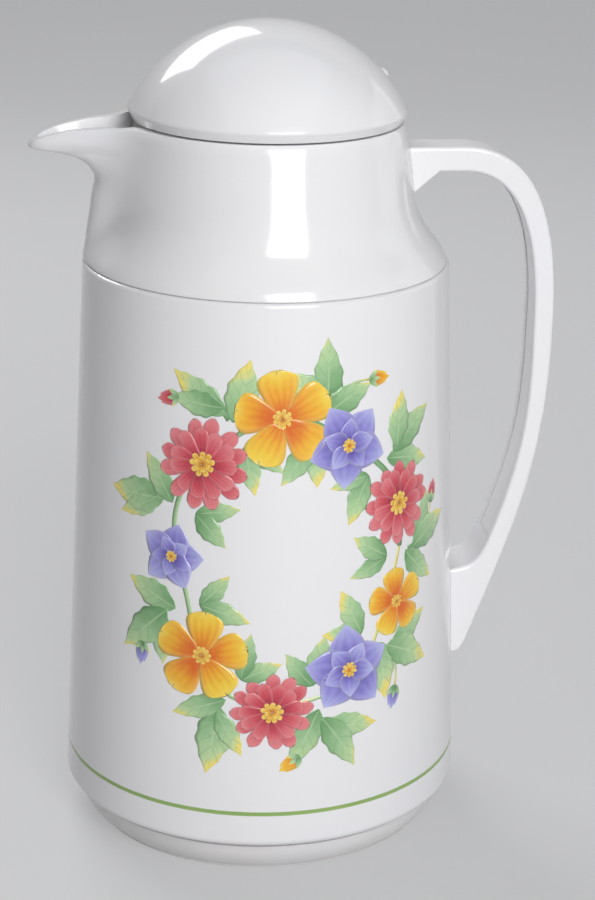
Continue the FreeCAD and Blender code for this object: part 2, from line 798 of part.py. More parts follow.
collar_outside = collar_loft(seam_z + seam_groove)
parts = {
    "lid_dome": lid_dome(),
    "stopper_body": stopper_body(),
    "stopper_plug": stopper_plug(),
    "stopper_foam": stopper_foam(),
    "stopper_seal": stopper_seal(),
    "collar_shell": collar_shell(collar_outside).cut(screw_holes),
    "threaded_neck": threaded_neck(),
    "flask_gasket": flask_gasket(),
    "flask_inner_glass": flask_inner_glass(),
    "flask_outer_glass": flask_outer_glass(),
    "flask_spacers": flask_spacers(),
    "flask_cushion": flask_cushion(),
    "body_sleeve": body_sleeve().cut(screw_holes),
    "base_cap": base_cap(),
    "handle_shell": handle_blank().cut([collar_outside, body_cone(), handle_channel()] + screw_holes),
    "handle_strip": handle_strip(),
    "handle_screws": Part.makeCompound([handle_screw(*seat) for seat in screw_seats]),
}

os.makedirs("parts", exist_ok=True)
for name, shape in parts.items():
    box = shape.BoundBox
    print(name, "valid", shape.isValid(), "solids", len(shape.Solids), "volume", round(shape.Volume, 1),
          "z", round(box.ZMin, 2), round(box.ZMax, 2))
    shape.exportStep("parts/" + name + ".step")
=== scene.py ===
# %% [markdown]
# A thermal carafe, dressed for the camera.
# The construction model is already packed: every piece sits at its real size in one frame, in metres.
# This lesson loads that frame, gives each piece its finish, and adds what only shows on the surface.

# %% Load the frame
import math
import random

import bpy
from mathutils import Matrix, Vector


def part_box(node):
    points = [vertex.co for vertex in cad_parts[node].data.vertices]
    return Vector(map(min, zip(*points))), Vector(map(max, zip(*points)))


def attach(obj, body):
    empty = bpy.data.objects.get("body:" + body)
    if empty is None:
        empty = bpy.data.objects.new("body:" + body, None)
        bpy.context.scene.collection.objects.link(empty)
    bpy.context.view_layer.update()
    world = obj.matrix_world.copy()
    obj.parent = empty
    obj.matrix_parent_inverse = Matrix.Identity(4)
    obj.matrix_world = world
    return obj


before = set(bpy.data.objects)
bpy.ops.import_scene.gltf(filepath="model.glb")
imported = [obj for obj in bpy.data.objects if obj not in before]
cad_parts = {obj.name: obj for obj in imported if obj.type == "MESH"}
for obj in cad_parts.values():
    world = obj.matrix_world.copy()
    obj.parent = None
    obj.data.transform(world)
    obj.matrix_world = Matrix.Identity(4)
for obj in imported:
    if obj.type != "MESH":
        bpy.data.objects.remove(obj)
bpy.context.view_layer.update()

print("nodes:", ", ".join(sorted(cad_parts)))

# %% [markdown]
# The print is laid out in millimetres, as on a maker's drawing, and scaled to metres when a mesh is made.
# The body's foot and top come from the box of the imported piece, so the print follows the frame. The two
# radii of the taper are the drawing's own: a box gives only the widest place, and there the foot is rounded.

# %% Sizes of the body
MM = 0.001
body_bottom_radius = 63.6
body_top_radius = 57.0
body_low, body_high = [Vector(corner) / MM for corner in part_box("body_sleeve")]
foot_z = body_low.z
seam_z = body_high.z
print(f"body from {foot_z:.1f} to {seam_z:.1f} mm")


def body_radius(z):
    """Outer radius of the tapered body at a height."""
    share = (z - foot_z) / (seam_z - foot_z)
    return body_bottom_radius + (body_top_radius - body_bottom_radius) * share


# %% [markdown]
# A material is a tree of nodes. Wiring one node at a time hides the idea behind it, so a small class
# wraps a socket and lets ordinary arithmetic add the Math nodes.
# Colours go through Mix nodes, because a Math node would turn them grey.


# %% Shader arithmetic
class Socket:
    """An output socket that can stand in a Python expression."""

    def __init__(self, finish, output):
        self.finish = finish
        self.output = output

    def math(self, operation, first, second=0.0, clamp=False):
        settings = {"operation": operation, "use_clamp": clamp}
        return self.finish.node("ShaderNodeMath", settings, {0: first, 1: second})

    def __add__(self, other):
        return self.math("ADD", self, other)

    def __radd__(self, other):
        return self.math("ADD", other, self)

    def __sub__(self, other):
        return self.math("SUBTRACT", self, other)

    def __rsub__(self, other):
        return self.math("SUBTRACT", other, self)

    def __mul__(self, other):
        return self.math("MULTIPLY", self, other)

    def __rmul__(self, other):
        return self.math("MULTIPLY", other, self)

    def __truediv__(self, other):
        return self.math("DIVIDE", self, other)

    def __pow__(self, other):
        return self.math("POWER", self, other)

    def __abs__(self):
        return self.math("ABSOLUTE", self)

    def clamped(self):
        return self.math("ADD", self, 0.0, clamp=True)

    def sine(self):
        return self.math("SINE", self)


print("arithmetic on sockets ready")

# %% [markdown]
# The second class is a material. One method adds any node: its settings first, because a setting can change
# which sockets a node has, and then the values or links of those sockets. The other methods are short names
# for the nodes that this carafe needs.

# %% Materials as finishes
bevel_samples = 6
noise_middle = 0.5


class Finish:
    """One material. Constants go straight to the shader's sockets, and node() adds what varies."""

    def __init__(self, name, color, roughness, **surface):
        self.material = bpy.data.materials.new(name)
        self.material.use_nodes = True
        self.tree = self.material.node_tree
        self.shader = self.tree.nodes["Principled BSDF"]
        self.set(**{"Base Color": (*color, 1.0), "Roughness": roughness}, **surface)

    def set(self, **inputs):
        """Gives the shader a constant or a link for each named input."""
        for name, value in inputs.items():
            self.feed(self.shader.inputs[name], value)

    def feed(self, socket, value):
        if isinstance(value, Socket):
            self.tree.links.new(value.output, socket)
        else:
            socket.default_value = value

    def node(self, kind, settings=None, values=None, out=0):
        """Any node: its settings first, then the values or links of its sockets."""
        node = self.tree.nodes.new(kind)
        for name, value in (settings or {}).items():
            if name == "stops":
                self.set_stops(node.color_ramp, value)
            else:
                setattr(node, name, value)
        for key, value in (values or {}).items():
            self.feed(node.inputs[key], value)
        return Socket(self, node.outputs[out])

    @staticmethod
    def set_stops(ramp, stops):
        while len(ramp.elements) < len(stops):
            ramp.elements.new(1.0)
        for element, (position, color) in zip(ramp.elements, stops):
            element.position = position
            element.color = (*color, 1.0)

    def mix(self, factor, first, second):
        """A colour between two colours. A Mix node's colour sockets are inputs 6 and 7 and output 2."""
        pair = [color if isinstance(color, Socket) else (*color, 1.0) for color in (first, second)]
        return self.node("ShaderNodeMix", {"data_type": "RGBA"}, {0: factor, 6: pair[0], 7: pair[1]}, out=2)

    def place(self):
        """Where a point lies on the object, in metres."""
        return self.node("ShaderNodeTexCoord", out="Object")

    def noise(self, scale, detail):
        """Soft blotches from 0 to 1, about as many to the metre as the scale says."""
        values = {"Vector": self.place(), "Scale": scale, "Detail": detail}
        return self.node("ShaderNodeTexNoise", None, values)

    def swing(self, scale, detail):
        """The same blotches, swinging about zero."""
        return self.noise(scale, detail) - noise_middle

    def attribute(self, name):
        """A number that the mesh carries at each of its points."""
        return self.node("ShaderNodeAttribute", {"attribute_name": name}, out="Fac")

    def bump(self, height, strength, depth, edge_radius=0.0):
        """Fine relief, on a normal that may be softened where faces meet at an edge."""
        values = {"Height": height, "Strength": strength, "Distance": depth}
        if edge_radius:
            samples = {"samples": bevel_samples}
            values["Normal"] = self.node("ShaderNodeBevel", samples, {"Radius": edge_radius})
        return self.node("ShaderNodeBump", None, values)


print("finishes ready")

# %% [markdown]
# The casing is white moulded plastic with a high gloss. One flat white would do for a sketch, but a real
# moulding has a faint warm and cool drift, a skin that is a touch wavy, and handling marks that dull the
# gloss. Noise gives all three. A Bevel node rounds the edges for the light only, so the mesh stays as packed.

# %% White plastic
gloss = {"IOR": 1.5, "Coat Weight": 0.25, "Coat Roughness": 0.04}
warm_tint = (1.0, 0.985, 0.965)
cool_tint = (0.985, 0.995, 1.02)
marks_spread = 0.06
skin_strength = 0.05
skin_depth = 0.04 * MM
edge_soft = 0.5 * MM


def tinted(color, tint):
    """A colour with a slight cast, no brighter than white."""
    return tuple(min(1.0, part * share) for part, share in zip(color, tint))


def white_plastic(name, color, roughness):
    finish = Finish(name, color, roughness, **gloss)
    drift = finish.noise(scale=14.0, detail=2.0)
    marks = finish.swing(scale=160.0, detail=6.0)
    skin = finish.noise(scale=260.0, detail=1.0)
    finish.set(**{
        "Base Color": finish.mix(drift, tinted(color, warm_tint), tinted(color, cool_tint)),
        "Roughness": roughness + marks * marks_spread,
        "Normal": finish.bump(skin, skin_strength, skin_depth, edge_soft),
    })
    return finish


casing_white = (0.83, 0.83, 0.845)
base_white = (0.8, 0.785, 0.79)
inner_white = (0.78, 0.78, 0.77)
lid_finish = white_plastic("lid_white", casing_white, roughness=0.13)
collar_finish = white_plastic("collar_white", casing_white, roughness=0.14)
handle_finish = white_plastic("handle_white", casing_white, roughness=0.16)
base_finish = white_plastic("base_white", base_white, roughness=0.2)
neck_finish = white_plastic("neck_white", inner_white, roughness=0.3)
stopper_finish = white_plastic("stopper_white", inner_white, roughness=0.3)
print("white finishes ready")

# %% [markdown]
# The body has the same white, with one thin green ring printed round its foot. A thin hoop of mesh would do,
# but the ring is simply a band of height, so the material paints it by height, with a slightly uneven edge.

# %% Printed body
ring_middle = 22.9 * MM
ring_half_width = 0.64 * MM
ring_edge = 0.14 * MM
ring_wobble = 0.1 * MM
ring_dark_green = (0.24, 0.39, 0.10)
ring_pale_green = (0.31, 0.47, 0.15)
half_ink = 0.5
body_finish = white_plastic("body_print", casing_white, roughness=0.14)
white_link = body_finish.shader.inputs["Base Color"].links[0]
body_white = Socket(body_finish, white_link.from_socket)
height_on_body = body_finish.node("ShaderNodeSeparateXYZ", None, {0: body_finish.place()}, out="Z")
wobble = body_finish.swing(scale=220.0, detail=2.0) * ring_wobble
off_ring = abs(height_on_body - ring_middle + wobble)
ring_mask = ((ring_half_width - off_ring) / ring_edge + half_ink).clamped()
ring_ink = body_finish.mix(body_finish.noise(scale=90.0, detail=4.0), ring_dark_green, ring_pale_green)
body_finish.set(**{"Base Color": body_finish.mix(ring_mask, body_white, ring_ink)})
print("ring at", ring_middle / MM, "mm")

# %% [markdown]
# Inside are a silicone washer, black rubber, foam, pads, silvered glass and two steel screws. Most of them
# never show, but each still gets the surface that it has. One function makes them all, because they differ
# only in colour, grain and roughness, and the glass and steel in being metallic.

# %% Inner finishes
grain_spread = 0.1
grain_strength = 0.4


def grained_finish(name, dark, pale, roughness, grain, depth):
    finish = Finish(name, pale, roughness)
    patch = finish.noise(grain, detail=4.0)
    finish.set(**{
        "Base Color": finish.mix(patch, dark, pale),
        "Roughness": roughness + (patch - noise_middle) * grain_spread,
        "Normal": finish.bump(patch, grain_strength, depth),
    })
    return finish


silicone_finish = grained_finish("silicone", (0.6, 0.6, 0.58), (0.7, 0.7, 0.68),
                                 roughness=0.45, grain=300.0, depth=0.03 * MM)
rubber_finish = grained_finish("gasket_rubber", (0.03, 0.03, 0.03), (0.055, 0.055, 0.055),
                               roughness=0.7, grain=500.0, depth=0.05 * MM)
foam_finish = grained_finish("foam", (0.6, 0.56, 0.42), (0.8, 0.77, 0.64),
                             roughness=0.9, grain=900.0, depth=0.3 * MM)
pad_finish = grained_finish("spacer_pad", (0.42, 0.4, 0.35), (0.56, 0.53, 0.47),
                            roughness=0.9, grain=1200.0, depth=0.1 * MM)
steel_finish = grained_finish("screw_steel", (0.42, 0.42, 0.42), (0.6, 0.6, 0.6),
                              roughness=0.35, grain=700.0, depth=0.01 * MM)
glass_finish = grained_finish("silvered_glass", (0.72, 0.74, 0.76), (0.8, 0.82, 0.84),
                              roughness=0.06, grain=20.0, depth=0.005 * MM)
for finish in (steel_finish, glass_finish):
    finish.set(Metallic=1.0)
print("inner finishes ready")

# %% [markdown]
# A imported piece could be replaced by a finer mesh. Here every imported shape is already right, so each piece
# keeps its own mesh and only takes a new material.

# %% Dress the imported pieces
node_finish = {
    "lid_dome": lid_finish,
    "collar_shell": collar_finish,
    "handle_shell": handle_finish,
    "handle_strip": handle_finish,
    "body_sleeve": body_finish,
    "base_cap": base_finish,
    "threaded_neck": neck_finish,
    "stopper_body": stopper_finish,
    "stopper_plug": stopper_finish,
    "stopper_foam": foam_finish,
    "stopper_seal": silicone_finish,
    "flask_gasket": rubber_finish,
    "flask_cushion": rubber_finish,
    "flask_inner_glass": glass_finish,
    "flask_outer_glass": glass_finish,
    "flask_spacers": pad_finish,
    "handle_screws": steel_finish,
}
for node, finish in node_finish.items():
    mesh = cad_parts[node].data
    mesh.materials.clear()
    mesh.materials.append(finish.material)
print(len(node_finish), "pieces dressed")

# %% [markdown]
# The body carries a flower print, a wreath with a bare middle. A transfer print is ink a few hundredths of a
# millimetre thick. It could be painted in one large shader, but each petal needs its own direction and
# shade, so every shape is a small thin mesh that hugs the tapered body. A point of the print has a place
# along the girth and a height, and a lift that puts one ink over another.

# %% A sheet of ink on the body
print_middle_z = 103.5
print_middle_girth = 2.0
print_radius = body_radius(print_middle_z)
front_angle = -math.pi / 2
ink_thickness = 0.015
stem_taper = 0.5


def on_body(girth, z, lift):
    """A point of the print in metres, lifted off the body's skin."""
    angle = front_angle + girth / print_radius
    radius = body_radius(z) + lift
    return (radius * math.cos(angle) * MM, radius * math.sin(angle) * MM, z * MM)


class InkSheet:
    """Ink shapes of one family, gathered into one thin mesh."""

    def __init__(self, name):
        self.name = name
        self.verts = []
        self.faces = []
        self.marks = {"along": [], "across": [], "tone": []}

    def rows_of_points(self, rows, tone):
        """Adds rows of points, each with its share along and across the shape, and joins them with faces."""
        first = len(self.verts)
        columns = len(rows[0])
        for row in rows:
            for point, along, across in row:
                self.verts.append(on_body(*point))
                self.marks["along"].append(along)
                self.marks["across"].append(across)
                self.marks["tone"].append(tone)
        for i in range(len(rows) - 1):
            for j in range(columns - 1):
                corner = first + i * columns + j
                self.faces.append((corner, corner + 1, corner + columns + 1, corner + columns))

    def blade(self, root, turn, length, half_width, lift, tone, bend=0.0, tip=None, steps=14, columns=9):
        """A petal or leaf from its root, towards the turn, with a half width for each share of its length."""
        cos_turn, sin_turn = math.cos(turn), math.sin(turn)
        rows = []
        for step in range(steps + 1):
            along = math.sin(math.pi / 2 * step / steps)
            row = []
            for column in range(columns):
                across = 1 - 2 * column / (columns - 1)
                reach = tip(across) if tip else 1.0
                forward = length * along * (1 + (reach - 1) * along * along)
                side = half_width(along) * across + bend * along * along
                girth = root[0] + forward * cos_turn - side * sin_turn
                z = root[1] + forward * sin_turn + side * cos_turn
                row.append(((girth, z, lift), along, across))
            rows.append(row)
        self.rows_of_points(rows, tone)

    def ribbon(self, path, width, lift, tone):
        """A stem along a path of points, thinner towards its end."""
        rows = []
        last = len(path) - 1
        for i, (girth, z) in enumerate(path):
            before, after = path[max(i - 1, 0)], path[min(i + 1, last)]
            run = Vector((after[0] - before[0], after[1] - before[1])).normalized()
            half = width / 2 * (1 - stem_taper * i / last)
            row = []
            for across in (1.0, 0.0, -1.0):
                place = (girth - run.y * half * across, z + run.x * half * across, lift)
                row.append((place, i / last, across))
            rows.append(row)
        self.rows_of_points(rows, tone)

    def piece(self, finish):
        """Makes the mesh, gives it its thickness, and fixes it to the body."""
        mesh = bpy.data.meshes.new(self.name)
        mesh.from_pydata(self.verts, [], self.faces)
        for mark, values in self.marks.items():
            mesh.attributes.new(mark, "FLOAT", "POINT").data.foreach_set("value", values)
        mesh.shade_smooth()
        mesh.materials.append(finish.material)
        piece = bpy.data.objects.new(self.name, mesh)
        bpy.context.collection.objects.link(piece)
        solid = piece.modifiers.new("ink", "SOLIDIFY")
        solid.thickness = ink_thickness * MM
        solid.offset = -1.0
        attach(piece, "carafe")
        print(self.name, len(self.faces), "faces")


print(f"print at a radius of {print_radius:.1f} mm")

# %% [markdown]
# Printed flowers are shaded like watercolour: deep ink at the heart, pale at the rim, with a mottled drift
# and fine lines that follow the petal. A material for each petal would be a long list. Each shape carries
# its share along and across itself instead, so one material shades every petal of a family.

# %% Flower inks
ink_roughness = 0.14
ink_spread = 0.06
tone_middle = 0.5
wash_mottle = 0.45
wash_tone = 0.35
line_waver = 3.0
side_rim = 0.55
side_rim_power = 5.0
end_rim = 0.4
end_rim_power = 14.0


def ink_finish(name, deep, middle, pale, edge, line_count, line_depth):
    finish = Finish(name, middle, ink_roughness, **gloss)
    along = finish.attribute("along")
    across = finish.attribute("across")
    tone = finish.attribute("tone")
    drift = finish.swing(scale=320.0, detail=4.0)
    share = along + drift * wash_mottle + (tone - tone_middle) * wash_tone
    stops = [(0.08, deep), (0.5, middle), (0.95, pale)]
    wash = finish.node("ShaderNodeValToRGB", {"stops": stops}, {"Fac": share})
    # A sine runs from -1 to 1, and the stripes from 0 to 1.
    stripes = (across * line_count + drift * line_waver).sine() * 0.5 + 0.5
    lines = stripes * (1 - along) * line_depth
    lined = finish.mix(lines.clamped(), wash, deep)
    rim = (abs(across) ** side_rim_power * side_rim + along ** end_rim_power * end_rim).clamped()
    finish.set(**{
        "Base Color": finish.mix(rim, lined, edge),
        "Roughness": ink_roughness + drift * ink_spread,
    })
    return finish


red_ink = ink_finish(
    "ink_red", deep=(0.36, 0.02, 0.05), middle=(0.62, 0.07, 0.10), pale=(0.74, 0.20, 0.22),
    edge=(0.80, 0.36, 0.36), line_count=12.0, line_depth=0.5)
gold_ink = ink_finish(
    "ink_gold", deep=(0.72, 0.14, 0.01), middle=(0.87, 0.40, 0.02), pale=(0.90, 0.62, 0.05),
    edge=(0.93, 0.74, 0.20), line_count=16.0, line_depth=0.6)
blue_ink = ink_finish(
    "ink_blue", deep=(0.12, 0.09, 0.40), middle=(0.28, 0.26, 0.66), pale=(0.45, 0.46, 0.80),
    edge=(0.62, 0.62, 0.86), line_count=12.0, line_depth=0.5)
heart_ink = ink_finish(
    "ink_heart", deep=(0.55, 0.16, 0.02), middle=(0.78, 0.42, 0.03), pale=(0.90, 0.66, 0.12),
    edge=(0.92, 0.78, 0.35), line_count=9.0, line_depth=0.3)
print("flower inks ready")

# %% [markdown]
# Leaves are pale green with a darker root, a light midrib, side veins, and a tip that runs to yellow. The
# veins could be meshes too, but at this size a sine along the leaf draws them as finely as the ink would be.

# %% Leaf ink
root_green = (0.15, 0.34, 0.14)
leaf_green = (0.34, 0.55, 0.29)
pale_green = (0.50, 0.68, 0.36)
tip_yellow = (0.88, 0.74, 0.18)
vein_green = (0.20, 0.40, 0.19)
midrib_green = (0.62, 0.76, 0.48)
leaf_mottle = 0.4
leaf_tone_spread = 0.3
leaf_side_shade = 0.12
midrib_thinness = 11.0
midrib_depth = 0.7
vein_count = 34.0
vein_slant = 7.0
vein_threshold = 0.72
vein_depth = 1.1

leaf_ink = Finish("ink_leaf", leaf_green, ink_roughness, **gloss)
along = leaf_ink.attribute("along")
across = leaf_ink.attribute("across")
tone = leaf_ink.attribute("tone")
drift = leaf_ink.swing(scale=260.0, detail=4.0)
leaf_share = along + drift * leaf_mottle + (tone - tone_middle) * leaf_tone_spread + across * leaf_side_shade
leaf_stops = [(0.02, root_green), (0.45, leaf_green), (0.78, pale_green), (0.97, tip_yellow)]
leaf_wash = leaf_ink.node("ShaderNodeValToRGB", {"stops": leaf_stops}, {"Fac": leaf_share})
midrib = (1 - abs(across) * midrib_thinness).clamped() * (1 - along) * midrib_depth
vein_wave = (along * vein_count - abs(across) * vein_slant).sine()
veins = (vein_wave - vein_threshold).clamped() * vein_depth
veined = leaf_ink.mix(veins.clamped(), leaf_wash, vein_green)
leaf_ink.set(**{
    "Base Color": leaf_ink.mix(midrib, veined, midrib_green),
    "Roughness": ink_roughness + drift * ink_spread,
})
print("leaf ink ready")

# %% [markdown]
# A petal could be a drawn outline, filled. A formula for its half width at each share of its length is
# shorter, and lets one function make petals of any size. A second formula, across the petal, shapes its tip.

# %% Petal shapes
least_end = 0.0004
bell_root = 0.12
bell_lean = 0.85
bell_fullness = 0.9
bell_least = 0.03
notch_depth = 0.13
notch_width = 0.28
frill_depth = 0.02
frill_waves = 9
ragged_depth = 0.06
ragged_waves = 1.5


def round_petal(width, root_width, rise, bluntness):
    """A petal that widens from its root and closes in a round end."""
    def half_width(along):
        swell = root_width + (1 - root_width) * along**rise
        return width / 2 * swell * math.sqrt(max(least_end, 1 - along**bluntness))

    return half_width


def narrow_petal(width):
    return round_petal(width, root_width=0.22, rise=0.7, bluntness=7)


def broad_petal(width):
    return round_petal(width, root_width=0.14, rise=0.75, bluntness=5)


def pointed_petal(width):
    """A petal that is widest below its middle and ends in a point."""
    def half_width(along):
        swell = math.sin(math.pi * (bell_root + (1 - bell_root) * along) ** bell_lean)
        return width / 2 * max(bell_least, swell) ** bell_fullness

    return half_width


def notched_tip(across):
    notch = notch_depth * math.exp(-((across / notch_width) ** 2))
    return 1 - notch + frill_depth * math.cos(frill_waves * across)


def ragged_tip(across):
    return 1 - ragged_depth * abs(math.sin(ragged_waves * math.pi * across))


print("petal shapes ready")

# %% [markdown]
# Three kinds of blossom take turns: daisies with two rounds of narrow petals, primroses with five notched
# petals, and star bells with five pointed ones under five smaller ones. One blossom copied round the wreath
# would look stamped, so a little chance varies each petal's turn, length, bend and shade. The seed is fixed,
# so the print is the same each time.

# %% Blossoms
chance = random.Random(11)
layer_step = 0.004
petal_root = 0.1
petal_sway = 0.06
petal_bend = 0.05
petal_lengths = (0.93, 1.03)
red_sheet = InkSheet("print_daisies")
gold_sheet = InkSheet("print_primroses")
blue_sheet = InkSheet("print_star_bells")
heart_sheet = InkSheet("print_hearts")
leaf_sheet = InkSheet("print_leaves")
vine_sheet = InkSheet("print_vine")


def petals(sheet, middle, count, start, radius, half_width, lift, tip=None):
    """A round of petals, each lying a little over the one before it. Gives the height of the top one."""
    for i in range(count):
        turn = start + 2 * math.pi * i / count + chance.uniform(-petal_sway, petal_sway)
        length = radius * (1 - petal_root) * chance.uniform(*petal_lengths)
        inset = radius * petal_root
        root = (middle[0] + inset * math.cos(turn), middle[1] + inset * math.sin(turn))
        bend = chance.uniform(-petal_bend, petal_bend) * radius
        sheet.blade(root, turn, length, half_width, lift + layer_step * i, chance.random(), bend, tip)
    return lift + layer_step * count


def any_start():
    return chance.uniform(0, 1)


def heart(middle, radius, lift):
    """The middle of a blossom: a ring of tiny anthers round a smaller one."""
    outer_count = 9
    inner_count = 6
    inner_radius = radius * 0.6
    outer_anther = narrow_petal(radius * 0.55)
    inner_anther = narrow_petal(radius * 0.5)
    top = petals(heart_sheet, middle, outer_count, any_start(), radius, outer_anther, lift)
    petals(heart_sheet, middle, inner_count, any_start(), inner_radius, inner_anther, top)


def daisy(middle, radius, lift):
    start = any_start()
    outer_count = 12
    inner_count = 11
    inner_start = start + 0.2
    inner_radius = radius * 0.78
    heart_radius = radius * 0.27
    petal = narrow_petal(radius * 0.42)
    top = petals(red_sheet, middle, outer_count, start, radius, petal, lift, ragged_tip)
    top = petals(red_sheet, middle, inner_count, inner_start, inner_radius, petal, top, ragged_tip)
    heart(middle, heart_radius, top)


def primrose(middle, radius, lift):
    count = 5
    heart_radius = radius * 0.2
    petal = broad_petal(radius * 1.12)
    top = petals(gold_sheet, middle, count, any_start(), radius, petal, lift, notched_tip)
    heart(middle, heart_radius, top)


def star_bell(middle, radius, lift):
    start = any_start()
    count = 5
    inner_start = start + 0.63
    inner_radius = radius * 0.62
    heart_radius = radius * 0.17
    outer_petal = pointed_petal(radius * 0.86)
    inner_petal = pointed_petal(radius * 0.5)
    top = petals(blue_sheet, middle, count, start, radius, outer_petal, lift)
    top = petals(blue_sheet, middle, count, inner_start, inner_radius, inner_petal, top)
    heart(middle, heart_radius, top)


print("three kinds of blossom ready")

# %% [markdown]
# The wreath is a ring of blossoms on a thin vine. Each blossom is set out by its bearing on the ring, from
# the right and anticlockwise, with its radius and how far it stands outside the ring. A slight wave in the
# ring keeps it from being a plain ellipse. Neighbours start at slightly different heights, as inks that are
# printed one after another do.

# %% Wreath layout
ring_half_girth = 36.0
ring_half_height = 45.0
full_turn = 360
ring_wave = 0.04
ring_waves = 3
ring_wave_start = 0.8
blossom_lift = 0.1
blossom_stagger = 0.02
stagger_heights = 3


def on_ring(degrees, outward=0.0):
    """A point of the wreath's ring, moved outwards by some millimetres, and the outward direction."""
    angle = math.radians(degrees)
    wave = 1 + ring_wave * math.sin(ring_waves * angle + ring_wave_start)
    point = Vector((ring_half_girth * math.cos(angle), ring_half_height * math.sin(angle))) * wave
    normal = Vector((math.cos(angle) / ring_half_girth, math.sin(angle) / ring_half_height)).normalized()
    place = point + normal * outward
    return (print_middle_girth + place.x, print_middle_z + place.y), math.atan2(normal.y, normal.x)


blossoms = [
    (95, primrose, 15.5, 1.0),
    (57, star_bell, 13.5, -2.0),
    (17, daisy, 14.0, 1.0),
    (338, primrose, 11.0, 3.0),
    (303, star_bell, 14.5, -1.0),
    (262, daisy, 13.0, 1.0),
    (222, primrose, 14.5, 0.0),
    (180, star_bell, 11.0, 2.0),
    (139, daisy, 15.0, -1.0),
]
for index, (bearing, flower, radius, outward) in enumerate(blossoms):
    middle, _ = on_ring(bearing, outward)
    flower(middle, radius, blossom_lift + blossom_stagger * (index % stagger_heights))
print(len(blossoms), "blossoms")

# %% [markdown]
# Leaves fill the gaps between blossoms. Outside the ring three lean different ways, and inside it two
# shorter ones do. They could be scattered by chance alone, but then some gaps would stay bare, so each gap
# gets the same five, and chance varies only their length, width, bend and shade, and the outer ones' turn.

# %% Leaves
leaf_lift = 0.03
leaf_lift_spread = 0.04
leaf_turn_spread = 0.2
leaf_bend = 0.16
leaf_widths = (0.42, 0.52)
leaf_lean = 0.8
leaf_least = 0.02
leaf_teeth = 26
leaf_tooth_depth = 0.07
leaf_steps = 26


def leaf_shape(width):
    """A leaf that is widest below its middle, with a slightly toothed edge."""
    def half_width(along):
        swell = max(leaf_least, math.sin(math.pi * along**leaf_lean))
        return width / 2 * swell * (1 + leaf_tooth_depth * math.sin(leaf_teeth * along))

    return half_width


def leaf(root, turn, length, lift):
    shape = leaf_shape(length * chance.uniform(*leaf_widths))
    tone = chance.random()
    bend = chance.uniform(-leaf_bend, leaf_bend) * length
    leaf_sheet.blade(root, turn, length, shape, lift, tone, bend, steps=leaf_steps)


def any_leaf_lift():
    return leaf_lift + chance.uniform(0, leaf_lift_spread)


# Each outer leaf: how far out its root is, its lean, and its shortest and longest length.
outer_leaves = ((6.0, 0.35, 20.0, 25.0), (3.0, -0.75, 17.0, 21.0), (8.0, 1.1, 15.0, 18.0))
inner_root = -5.0
inner_leans = (0.45, -0.5)
inner_lengths = (13.0, 17.0)
bearings = sorted(bearing for bearing, *_ in blossoms)
for i, bearing in enumerate(bearings):
    following = bearings[(i + 1) % len(bearings)]
    gap = (bearing + ((following - bearing) % full_turn) / 2) % full_turn
    for outward, lean, shortest, longest in outer_leaves:
        root, turn = on_ring(gap, outward)
        turn += lean + chance.uniform(-leaf_turn_spread, leaf_turn_spread)
        length = chance.uniform(shortest, longest)
        leaf(root, turn, length, any_leaf_lift())
    root, turn = on_ring(gap, inner_root)
    for lean in inner_leans:
        leaf(root, turn + math.pi + lean, chance.uniform(*inner_lengths), any_leaf_lift())
print(len(bearings), "gaps filled with leaves")

# %% [markdown]
# A few buds stand on curved stems, each a closed flower of three petals in a small green cup. The stem is a
# ribbon, and the petals are the star bells' own shape, made smaller, so nothing new has to be drawn.

# %% Buds
bud_root = 4.0
stem_steps = 8
stem_curve = 0.7
stem_width = 1.3
bud_length = 7.5
bud_lift = 0.07
bud_sides = (-0.35, 0.0, 0.35)
bud_fan = 0.6
side_shorter = 3
side_lower = 0.02
cup_length = 4.0
cup_lift = 0.085
cup_sides = (-0.75, 0.75, 0.0)
bud_petal = pointed_petal(width=3.6)
cup_petal = pointed_petal(width=1.8)
vine_lift = 0.02


def bud(bearing, length, lean, sheet):
    """A curved stem with a closed flower in a green cup at its end."""
    root, outward_turn = on_ring(bearing, bud_root)
    turn = outward_turn + lean
    curve = math.copysign(stem_curve, lean)
    path = []
    for step in range(stem_steps + 1):
        share = step / stem_steps
        run = length * share
        swing = turn + curve * (share - 0.5)
        path.append((root[0] + run * math.cos(swing), root[1] + run * math.sin(swing)))
    vine_sheet.ribbon(path, stem_width, vine_lift, chance.random())
    before, end = path[-2:]
    out = math.atan2(end[1] - before[1], end[0] - before[0])
    for side in bud_sides:
        petal_length = bud_length - side_shorter * abs(side)
        petal_lift = bud_lift - side_lower * abs(side)
        sheet.blade(end, out + side * bud_fan, petal_length, bud_petal, petal_lift, chance.random())
    for side in cup_sides:
        leaf_sheet.blade(end, out + side, cup_length, cup_petal, cup_lift, chance.random())


# Each bud: its bearing, the length and lean of its stem, and its ink.
buds = [
    (118, 17.0, 0.3, red_sheet),
    (76, 18.0, -0.4, gold_sheet),
    (200, 17.0, 0.3, blue_sheet),
    (282, 15.0, -0.3, gold_sheet),
    (358, 17.0, 0.4, red_sheet),
    (320, 16.0, -0.3, blue_sheet),
]
for bearing, length, lean, sheet in buds:
    bud(bearing, length, lean, sheet)
print(len(buds), "buds")

# %% [markdown]
# The vine under everything is one long ribbon that swings from side to side as it goes round the ring. With
# it the wreath is whole, and each family of ink becomes one piece, fixed to the body that carries it.

# %% Vine and finished print
vine_width = 2.0
vine_tone = 0.4
vine_swing = 1.5
vine_swings = 5
vine_step = 3
vine = []
for degrees in range(0, full_turn + 1, vine_step):
    place, _ = on_ring(degrees, vine_swing * math.sin(math.radians(degrees * vine_swings)))
    vine.append(place)
vine_sheet.ribbon(vine, vine_width, vine_lift, vine_tone)

